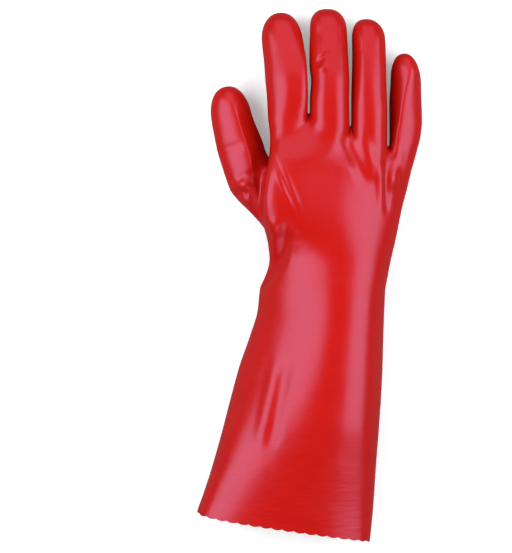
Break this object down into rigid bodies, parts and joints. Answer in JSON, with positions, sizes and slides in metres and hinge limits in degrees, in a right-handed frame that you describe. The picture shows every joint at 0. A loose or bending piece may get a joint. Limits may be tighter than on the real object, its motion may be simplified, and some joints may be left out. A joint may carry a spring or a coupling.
{
  "type": "chemical resistant gauntlet glove",
  "caption": "Long dipped PVC work gauntlet for the right hand, hollow, with four fingers, a thumb, a flared cuff and a scalloped hem.",
  "frame": {"origin": "middle of the footprint, on the surface that the glove lies on palm down", "axes": "+Y towards the fingertips, +X towards the little finger, +Z out of the back of the hand"},
  "size_m": [0.1742, 0.4122, 0.0631],
  "materials": {
    "coating": "smooth semi-gloss dipped PVC"
  },
  "bodies": {
    "root": {"glove": "coating"}
  },
  "joints": []
}
